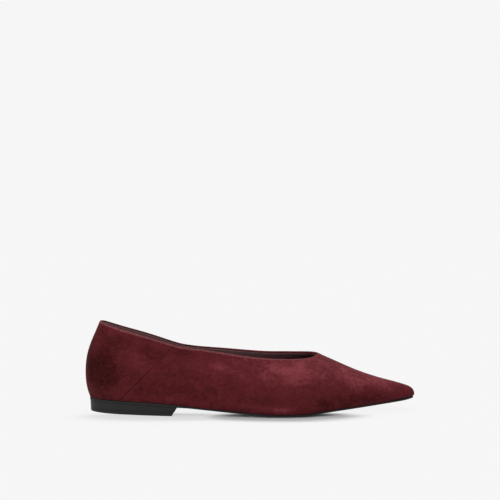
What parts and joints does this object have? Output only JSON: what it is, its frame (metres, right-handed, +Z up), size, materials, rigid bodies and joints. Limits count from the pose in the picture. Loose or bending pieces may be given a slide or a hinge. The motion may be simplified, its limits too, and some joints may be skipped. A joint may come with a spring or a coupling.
{
  "type": "ballet flat",
  "caption": "Right ballet flat with a pointed toe, a low open topline, a thin outsole and a low stacked heel; it stands empty on its sole.",
  "frame": {"origin": "on the floor, under the centre of the shoe's bounding box", "axes": "+X from the heel to the toe, +Y to the inner side of the foot, +Z up"},
  "size_m": [0.265, 0.0796, 0.0709],
  "materials": {
    "upper_suede": "napped burgundy suede, matt",
    "sock_lining": "smooth dark lining leather, satin",
    "outsole_rubber": "matt black sole sheet",
    "heel_cover": "satin black",
    "heel_rubber": "matt black"
  },
  "bodies": {
    "root": {"upper": "upper_suede", "insole": "sock_lining", "outsole": "outsole_rubber", "heel": "heel_cover", "heel_top_piece": "heel_rubber"}
  },
  "joints": []
}
